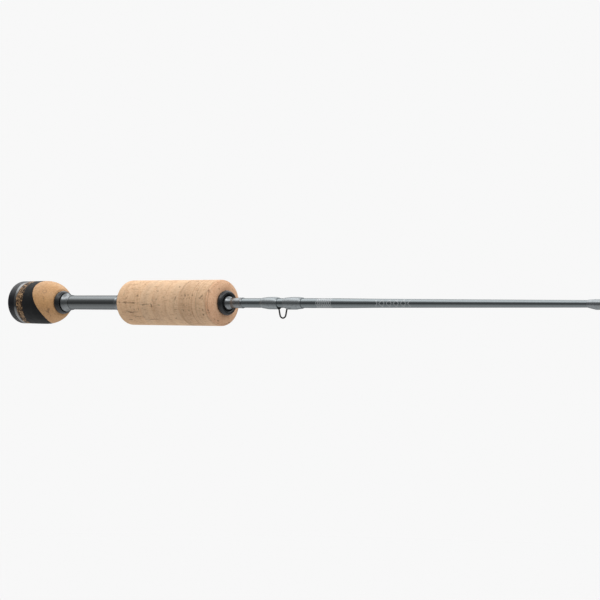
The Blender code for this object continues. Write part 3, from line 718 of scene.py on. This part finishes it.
def make_butt_grip():
    cap = cap_look()
    socket_floor = 0.0025

    def cap_shape(x, radius, angle):
        front = seam("cap_to_trim", angle, BUTT_RADIUS) - SEAM_GAP
        part = (x - 0.0012) / 0.0034
        on_side = x > 0.00121
        place = np.where(on_side, 0.0012 + (front - 0.0012) * np.clip(part, 0, 1), x)
        groove = 0.00009 * (0.5 - 0.5 * np.cos(part * TAU * 5))
        groove = groove * np.clip(1.2 - np.abs(part - 0.5) * 2, 0, 1)
        outer = np.where(on_side & (radius > 0.012), radius - groove, radius)
        inner_front = seam("cap_to_trim", angle, BORE) - SEAM_GAP
        place = np.where(on_side & (radius < 0.012) & (radius > 0.0044), inner_front, place)
        return place, outer, {}

    turn = np.linspace(0, math.pi / 2, 10)
    edge = [(0.0012 * (1 - math.cos(a)), BUTT_RADIUS - 0.0012 + 0.0012 * math.sin(a)) for a in turn]
    face = [(0.0, r) for r in ramp_rows(0.0006, BUTT_RADIUS - 0.00125, 0.0008)]
    side = [(x, BUTT_RADIUS) for x in ramp_rows(0.00125, 0.0046, 0.00007)]
    profile = face + edge + side
    profile += [(0.0046, 0.0112), (0.0046, BORE), (socket_floor, BORE - 0.0001), (socket_floor, 0.0006)]
    lathe("end_cap", profile, cap, 192, closed=False, replaces=("butt_cap",), slot="black_cap", shape=cap_shape)
    seam_ring("trim_ring", "butt_trim_ring", "polished_trim",
              polished_look("polished_trim", (0.235, 0.242, 0.245), 0.10), "cap_to_trim", "trim_to_burl", 16)
    seam_ring("burl_ring", "burl_cork_ring", "burl_cork", burl_look(), "trim_to_burl", "burl_to_inlay", 26)
    seam_ring("foam_inlay", "grip_inlay", "black_rubber", rubber_look("foam_inlay"),
              "burl_to_inlay", "inlay_to_cork", 48)


# ---- handle trim --------------------------------------------------------------------------
def rounded(points, steps=6):
    """A smooth closed-ring outline through (x, radius) points, as arrays."""
    path = smooth_path([(x, 0, r) for x, r in points], steps)
    return [(point.x, point.z) for point in path]


def make_handle():
    rubber = rubber_look("check_rubber", (0.010, 0.0115, 0.013), 0.27, 0.5)
    thread = thread_look("thread_trim", (0.225, 0.241, 0.250), 0.20)
    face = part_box("rear_winding_check")[0].x
    outline = rounded([(face, 0.0069), (face + 0.0003, 0.00722), (face + 0.0010, 0.0073), (face + 0.0020, 0.0072),
                       (face + 0.0031, 0.0068), (face + 0.0038, 0.00628), (face + 0.0039, 0.0060),
                       (face + 0.0035, 0.00574), (face + 0.0027, 0.0054)], 5)
    lathe("rear_check", [(face, BORE)] + outline + [(face + 0.0020, 0.0052), (face + 0.0020, BORE)], rubber, 128,
          replaces=("rear_winding_check",), slot="black_rubber", sharp=50)
    start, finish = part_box("rear_trim_cone")[0].x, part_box("rear_trim_cone")[1].x
    cone = rounded([(start, 0.0051), (start + 0.0024, 0.0057), (start + 0.0030, 0.00575), (start + 0.0036, 0.00548),
                    (start + 0.0046, 0.00505), (start + 0.0058, 0.00478), (finish - 0.0007, 0.00472),
                    (finish - 0.0002, 0.00470), (finish - 0.00005, 0.0046), (finish, 0.00442)], 7)
    lathe("rear_cone", [(start, BORE)] + cone + [(finish, BORE)], thread, 96, replaces=("rear_trim_cone",),
          slot="thread_wrap", shape=thread_shape(0.00034, 0.000004), sharp=50)
    low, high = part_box("handle_tube")
    tube = gunmetal_look("gunmetal_tube", (0.172, 0.185, 0.190), 0.145)
    rows = [(x, TUBE_RADIUS) for x in ramp_rows(low.x, high.x, 0.004)]
    lathe("tube", [(low.x, 0.0033)] + rows + [(high.x, 0.0033)], tube, 96, replaces=("handle_tube",),
          slot="gunmetal_tube")
    low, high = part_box("tube_collar")
    collar = rounded([(low.x, BORE + 0.00002), (low.x + 0.0001, 0.00474), (low.x + 0.0005, 0.00492),
                      (low.x + 0.0012, 0.00472), (low.x + 0.0017, 0.00450), (low.x + 0.003, 0.00448),
                      (high.x, 0.00448)], 6)
    lathe("collar", [(low.x, BORE)] + collar + [(high.x, BORE)], thread, 96, replaces=("tube_collar",),
          slot="thread_wrap", shape=thread_shape(0.00034, 0.000004), sharp=50)
    make_front_trim(rubber, thread)


def thread_shape(pitch, height):
    """Fine turns of thread that show through the epoxy as low ridges."""
    def shape(x, radius, angle):
        turns = x / pitch + angle / TAU
        outside = radius > radius.min() + 0.00002
        return x, np.where(outside, radius - height * (0.5 + 0.5 * np.cos(turns * TAU)), radius), {}
    return shape


def make_front_trim(rubber, thread):
    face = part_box("fore_winding_check")[0].x
    bore = float(blank_radius(face)) + 0.00005
    outline = rounded([(face, 0.0068), (face + 0.0003, 0.00718), (face + 0.0010, 0.0073), (face + 0.0017, 0.00718),
                       (face + 0.0024, 0.00675), (face + 0.0028, 0.0061), (face + 0.00282, 0.0055),
                       (face + 0.0024, 0.0049), (face + 0.0016, 0.0046), (face + 0.0009, 0.00445)], 5)
    lathe("fore_check", [(face, bore)] + outline + [(face + 0.0009, bore)], rubber, 128,
          replaces=("fore_winding_check",), slot="black_rubber", sharp=50)
    low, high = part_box("fore_trim_wrap")
    outline = [(low.x, 0.0042), (low.x + 0.0016, 0.00418), (low.x + 0.0024, 0.0040), (low.x + 0.0033, 0.0036),
               (low.x + 0.0044, 0.00322), (low.x + 0.0056, 0.00305), (low.x + 0.0090, 0.00305),
               (high.x - 0.0016, 0.00306), (high.x - 0.0008, 0.00315), (high.x, 0.00284)]
    lathe("fore_wrap", [(low.x, bore)] + rounded(outline, 8) + [(high.x, bore)], thread, 96,
          replaces=("fore_trim_wrap",), slot="thread_wrap", shape=thread_shape(0.00034, 0.000004), sharp=50)


# ---- blank, wraps and keeper --------------------------------------------------------------
def make_blank():
    look = gunmetal_look("gunmetal_blank", (0.205, 0.231, 0.240), 0.155, graphics=(hatching, lozenges))
    low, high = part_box("blank")
    places = sorted(set(np.round(np.concatenate([ramp_rows(low.x, high.x, 0.004),
                                                 [x for x, _ in BLANK_TAPER[1:-1]]]), 6)))
    rows = [(x, float(blank_radius(x))) for x in places]
    lathe("rod_blank", rows, look, 64, closed=False, replaces=("blank",), slot="gunmetal_blank")


def underside(angle):
    return np.maximum(0.0, -np.sin(angle)) ** 4


def whip(name, node, thin_end, thick_end, peak, tunnel, look, rise_over=0.4, foot_at_thin_end=False):
    """One whipping: ridged thread under epoxy over a foot, which makes its underside hang lower."""
    rows = max(24, int(abs(thick_end - thin_end) / 0.00011))
    parts = np.linspace(0, 1, rows)
    profile = [(part, -1.0) for part in parts] + [(part, 1.0) for part in parts[::-6]]

    def shape(x, radius, angle):
        part = x
        place = thin_end + (thick_end - thin_end) * part
        bore = blank_radius(place) + 0.00005
        depth = tunnel * np.clip(part / rise_over, 0, 1)
        if foot_at_thin_end:
            depth = depth * np.clip((1 - part) / 0.35, 0, 1)
        inner = bore + depth * underside(angle)
        length = abs(thick_end - thin_end)
        rise = np.sin(math.pi / 2 * np.clip(part / 0.52, 0, 1)) ** 0.85
        settle = 1 - 0.12 * np.clip((part - 0.55) / 0.30, 0, 1) ** 2
        ending = np.clip((1 - part) * length / 0.0021, 0, 1)
        close = 0.12 + 0.88 * np.sin(math.pi / 2 * ending) ** 0.8
        outer = bore + 0.00010 + (peak - bore - 0.00010) * rise * settle * close
        bead = np.exp(-((part * length - 0.00055) / 0.00030) ** 2)
        outer = outer + 0.00007 * bead
        turns = place / 0.00034 + angle / TAU
        outer = outer - 0.0000025 * (0.5 + 0.5 * np.cos(turns * TAU))
        outer = np.maximum(outer, inner + 0.00012)
        return place, np.where(radius < 0, outer, inner), {}

    lathe(name, profile, look, 72, replaces=(node,), slot="thread_wrap", shape=shape, sharp=60)


KEEPER_WIRE = 0.00045
KEEPER_FOOT = (0.0005, 0.0002)
KEEPER_LEGS = (0.2272, 0.2328)
KEEPER_DEPTH = 0.0085


def make_keeper(thread):
    rear, front = KEEPER_LEGS
    under = -(float(blank_radius(rear)) + 0.00005 + KEEPER_FOOT[1] + 0.00005)
    middle = (rear + front) / 2
    half = [(0.0080, under), (0.0050, under), (0.0016, under), (0.0003, under - 0.00055), (-0.0001, -0.0049),
            (-0.0005, -0.0066), (-0.00115, -0.00785)]
    route = [(rear - out, 0, height) for out, height in half] + [(middle, 0, -KEEPER_DEPTH)]
    route += [(front + out, 0, height) for out, height in reversed(half)]
    per_span = 8
    path = smooth_path(route, per_span)
    widths = []
    for index in range(len(path)):
        from_end = min(index, len(path) - 1 - index)
        roundness = min(max((from_end - 2 * per_span) / per_span, 0.0), 1.0)
        widths.append(tuple(flat + (KEEPER_WIRE - flat) * roundness for flat in KEEPER_FOOT))
    points, faces = sweep(path, widths, 20)
    add_piece("keeper_wire", points, faces, steel_look("black_wire", (0.004, 0.0042, 0.0045), 0.5, 0.0),
              replaces=("hook_keeper",), slot="black_wire")
    low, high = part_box("keeper_rear_wrap")
    whip("keeper_wrap_rear", "keeper_rear_wrap", low.x, high.x + 0.0012, 0.00345, 0.00068, thread)
    low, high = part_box("keeper_front_wrap")
    whip("keeper_wrap_front", "keeper_front_wrap", low.x - 0.0023, high.x, 0.00340, 0.00078, thread,
         rise_over=0.2, foot_at_thin_end=True)


# ---- guides -------------------------------------------------------------------------------
RING_WALL, HOLDER_WALL = 0.0008, 0.00055
GUIDES = {
    "stripper": (0.4576, 0.0046, 0.0104, ((-1, 72), (1, 30))),
    "guide_2": (0.533, 0.0034, 0.0076, ((-1, 72),)),
    "guide_3": (0.602, 0.0030, 0.0064, ((-1, 72),)),
    "guide_4": (0.660, 0.0030, 0.0059, ((-1, 72),)),
}


def ring_section(x, bore, half):
    """Rounded section of a ceramic ring."""
    outer = bore + RING_WALL
    points = [(x - half * 0.45, outer), (x + half * 0.45, outer), (x + half * 0.85, outer - 0.00012),
              (x + half, bore + RING_WALL * 0.5), (x + half * 0.72, bore + 0.00014), (x, bore),
              (x - half * 0.72, bore + 0.00014), (x - half, bore + RING_WALL * 0.5),
              (x - half * 0.85, outer - 0.00012)]
    return rounded(points + [points[0]], 4)[:-1]


def holder_section(x, bore, half):
    inner = bore + RING_WALL + 0.00004
    outer = inner + HOLDER_WALL - 0.00001
    soft = 0.00012
    return [(x - half, inner), (x - half, outer - soft), (x - half + soft * 0.3, outer - soft * 0.3),
            (x - half + soft, outer), (x + half - soft, outer), (x + half - soft * 0.3, outer - soft * 0.3),
            (x + half, outer - soft), (x + half, inner)]


def make_guides(thread):
    ceramic = ceramic_look()
    steel = steel_look("guide_frame", (0.30, 0.305, 0.31), 0.20)
    for name, (x, bore, drop, feet) in GUIDES.items():
        lathe(name + "_ceramic", ring_section(x, bore, 0.00075), ceramic, 96, drop=drop,
              replaces=(name + "_ring",), slot="guide_ceramic", sharp=60)
        lathe(name + "_holder", holder_section(x, bore, 0.00055), steel, 96, drop=drop,
              replaces=(name + "_frame",), slot="guide_frame", sharp=50)
        reach = bore + RING_WALL + 0.00005 + HOLDER_WALL + 0.0001
        for heading, spread in feet:
            end_name = "rear" if heading < 0 else "front"
            make_foot(f"{name}_{end_name}", steel, x, drop, reach, heading, spread)
            low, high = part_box(f"{name}_{end_name}_wrap")
            thin, thick = (low.x, high.x) if heading < 0 else (high.x, low.x)
            peak = float(blank_radius(x)) + 0.00055
            whip(f"{name}_whip_{end_name}", f"{name}_{end_name}_wrap", thin, thick, peak, 0.00095, thread)
    make_tip_top(ceramic, steel, thread)


def make_foot(prefix, look, x, drop, reach, heading, spread):
    near = x + heading * (0.0034 + drop * 0.35)
    under = -(float(blank_radius(near)) + 0.00005 + 0.00042)
    foot = smooth_path([(near + heading * 0.0088, 0, under + 0.00004), (near + heading * 0.0050, 0, under),
                        (near + heading * 0.0020, 0, under), (near, 0, under),
                        (near - heading * 0.0011, 0, under - 0.0003)], 6)
    stages = (0, 10, 24)
    widths = [(np.interp(i, stages, (0.00026, 0.00048, 0.00050)), np.interp(i, stages, (0.00012, 0.00030, 0.00036)))
              for i in range(len(foot))]
    points, faces = sweep(foot, widths, 20)
    add_piece(prefix + "_foot", points, faces, look, slot="guide_frame")
    for side in (-1, 1):
        angle = math.radians(spread)
        grip = (x, side * reach * math.sin(angle), -drop + reach * math.cos(angle))
        start = (near - heading * 0.0002, side * 0.00032, under - 0.00002)
        middle = (near - heading * (0.0016 + drop * 0.1), side * (0.0004 + reach * math.sin(angle) * 0.35),
                  under + (grip[2] - under) * 0.42)
        path = smooth_path([start, middle, grip], 12)
        points, faces = sweep(path, [(0.00041, 0.00041)] * len(path), 18)
        add_piece(f"{prefix}_leg_{'left' if side < 0 else 'right'}", points, faces, look, slot="guide_frame")


def make_tip_top(ceramic, steel, thread):
    tip, bore, drop = 0.710, 0.0021, 0.0044
    lathe("tip_ceramic", ring_section(tip, bore, 0.00075), ceramic, 96, drop=drop, replaces=("tip_top_ring",),
          slot="guide_ceramic", sharp=60)
    lathe("tip_holder", holder_section(tip, bore, 0.00055), steel, 96, drop=drop, replaces=("tip_top_frame",),
          slot="guide_frame", sharp=50)
    inner = float(blank_radius(tip - 0.009)) + 0.00005
    barrel = [(tip - 0.009, inner), (tip - 0.009, inner + 0.00028), (tip - 0.0089, inner + 0.00035),
              (tip + 0.0002, inner + 0.00035), (tip + 0.0006, inner + 0.0002), (tip + 0.00085, inner - 0.0002),
              (tip + 0.0009, 0.00005), (tip + 0.0001, 0.00005), (tip + 0.0001, inner)]
    lathe("tip_barrel", barrel, steel, 48, slot="guide_frame")
    reach = bore + RING_WALL + 0.00005 + HOLDER_WALL + 0.0001
    for side in (-1, 1):
        angle = math.radians(80)
        end = (tip, side * reach * math.sin(angle), -drop + reach * math.cos(angle))
        path = smooth_path([(tip - 0.0075, side * (inner + 0.00042), -0.0002),
                            (tip - 0.004, side * 0.00175, -0.0014), end], 12)
        points, faces = sweep(path, [(0.00036, 0.00036)] * len(path), 18)
        add_piece(f"tip_strut_{'left' if side < 0 else 'right'}", points, faces, steel, slot="guide_frame")
    low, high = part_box("tip_top_wrap")
    whip("tip_whip", "tip_top_wrap", low.x, high.x, float(blank_radius(tip)) + 0.0004, 0.0, thread)


def dress_hidden_bushes():
    """The bushes inside the grip keep their CAD shape and get a graphite finish."""
    look = Look("graphite", roughness=0.55, metallic=0.1)
    look.set("Base Color", look.ramp(look.noise(0.0009, 4), [(0.3, (0.02, 0.02, 0.022)), (0.7, (0.05, 0.05, 0.052))]))
    for node in ("rear_arbor", "middle_arbor", "grip_arbor"):
        piece = frame["nodes"][node]
        piece = piece if hasattr(piece, "data") else bpy.data.objects[node]
        piece.data.materials.clear()
        piece.data.materials.append(look.material)


# ---- stage --------------------------------------------------------------------------------
def make_camera():
    """Camera at the height of the rod, on the tip side, far enough for a flat perspective."""
    swing = math.radians(47.0)          # between the rod and the line of sight
    tilt = math.radians(0.069)
    lens_share = 10 / 3                 # focal length over frame width
    distance = 1.2158
    sensor = 36.0
    right = Vector((math.sin(swing), math.cos(swing), 0))
    back = Vector((math.cos(swing), -math.sin(swing), 0))
    up = Vector((0, 0, 1))
    turned_right = right * math.cos(tilt) + up * math.sin(tilt)
    turned_up = up * math.cos(tilt) - right * math.sin(tilt)
    data = bpy.data.cameras.new("camera")
    data.sensor_width = sensor
    data.lens = sensor * lens_share
    data.clip_start = 0.05
    data.clip_end = 50
    camera = bpy.data.objects.new("camera", data)
    aim = Vector((0.1053, 0, 0))
    place = aim + turned_right * 0.10085 + turned_up * 0.00161 + back * distance
    axes = Matrix((turned_right, turned_up, back)).transposed().to_4x4()
    camera.matrix_world = Matrix.Translation(place) @ axes
    bpy.context.scene.collection.objects.link(camera)
    bpy.context.scene.camera = camera


def make_world():
    """A white surround for the eye; for light, a studio bright above and behind, dark round the sides."""
    world = bpy.data.worlds.new("studio")
    bpy.context.scene.world = world
    world.use_nodes = True
    tree = world.node_tree
    tree.nodes.clear()

    output = add_node(tree, "ShaderNodeOutputWorld")
    seen = add_node(tree, "ShaderNodeBackground")
    seen.inputs["Color"].default_value = (BACKGROUND, BACKGROUND, BACKGROUND, 1)
    light = add_node(tree, "ShaderNodeBackground")
    light.inputs["Strength"].default_value = STUDIO_STRENGTH
    ray = add_node(tree, "ShaderNodeLightPath")
    choose = add_node(tree, "ShaderNodeMixShader")
    place = add_node(tree, "ShaderNodeTexCoord")
    towards = add_node(tree, "ShaderNodeVectorMath", operation="DOT_PRODUCT")
    towards.inputs[1].default_value = SOFTBOX_SIDE
    half = add_node(tree, "ShaderNodeMath", operation="MULTIPLY_ADD")
    half.inputs[1].default_value = 0.5
    half.inputs[2].default_value = 0.5
    ramp = add_node(tree, "ShaderNodeValToRGB")
    ramp.color_ramp.interpolation = "LINEAR"
    fill_ramp(ramp, [(0.5 + 0.5 * spot, value) for spot, value in SOFTBOX])
    tree.links.new(place.outputs["Generated"], towards.inputs[0])
    tree.links.new(towards.outputs["Value"], half.inputs[0])
    tree.links.new(half.outputs[0], ramp.inputs[0])
    tree.links.new(ramp.outputs["Color"], light.inputs["Color"])
    tree.links.new(ray.outputs["Is Camera Ray"], choose.inputs[0])
    tree.links.new(light.outputs[0], choose.inputs[1])
    tree.links.new(seen.outputs[0], choose.inputs[2])
    tree.links.new(choose.outputs[0], output.inputs["Surface"])


def make_floor():
    """Pale floor below the rod, glowing by its own emission as a painted pool of light that fades into the white
    surround.
    """
    sides, depth = 96, -0.30
    reach_x, reach_y = 1.6, 1.35
    points = [(0.25, 0, depth)]
    points += [(0.25 + reach_x * math.cos(TAU * k / sides), reach_y * math.sin(TAU * k / sides), depth)
               for k in range(sides)]
    faces = [(0, 1 + k, 1 + (k + 1) % sides) for k in range(sides)]
    mesh = bpy.data.meshes.new("floor")
    mesh.from_pydata(points, [], faces)
    floor = bpy.data.objects.new("floor", mesh)
    bpy.context.scene.collection.objects.link(floor)
    look = Look("floor", roughness=0.9)
    look.set("Base Color", (0.10, 0.10, 0.10, 1))
    look.set("Specular IOR Level", 0.0)
    # Painted light: the floor is no lamp, yet its emission lights the rod from below and shows in its reflections.
    look.set("Emission Color", (1.0, 1.0, 1.0, 1))
    look.set("Emission Strength", 0.80)
    # The painted glow fades away from the rod, across and along it, through these alpha ramps.
    aside = look.maths("ABSOLUTE", look.axis("Y"))
    fade_y = look.ramp(aside, [(0.0, 0.97), (0.17, 0.76), (0.36, 0.54), (0.60, 0.32), (0.84, 0.17), (1.0, 0.08)])
    away = look.maths("ABSOLUTE", look.maths("SUBTRACT", look.axis("X"), 0.25))
    fade_x = look.ramp(look.maths("MULTIPLY", away, 0.6), [(0.50, 1.0), (0.92, 0.0)], smooth=True)
    edge = look.ramp(aside, [(0.7, 1.0), (1.0, 0.4)])
    look.set("Alpha", look.maths("MULTIPLY", look.maths("MULTIPLY", fade_y, fade_x), edge))
    mesh.materials.append(look.material)


def make_light():
    """A weak warm softbox in front of the rod."""
    data = bpy.data.lights.new("key_softbox", "AREA")
    data.shape = "RECTANGLE"
    data.size, data.size_y = 0.9, 0.5
    data.energy = 1.0
    data.color = (1.0, 0.985, 0.965)
    light = bpy.data.objects.new("key_softbox", data)
    light.location = KEY_PLACE
    light.rotation_euler = (Vector(KEY_TARGET) - Vector(KEY_PLACE)).to_track_quat("-Z", "Y").to_euler()
    light.visible_camera = False
    bpy.context.scene.collection.objects.link(light)


def main():
    scene = bpy.context.scene
    scene.view_settings.view_transform = "Standard"
    scene.view_settings.look = "None"
    make_camera()
    make_world()
    make_floor()
    make_light()
    make_butt_grip()
    make_cork()
    make_handle()
    make_blank()
    thread = thread_look("thread_wrap", (0.262, 0.286, 0.297), 0.27)
    make_keeper(thread)
    make_guides(thread)
    dress_hidden_bushes()


main()
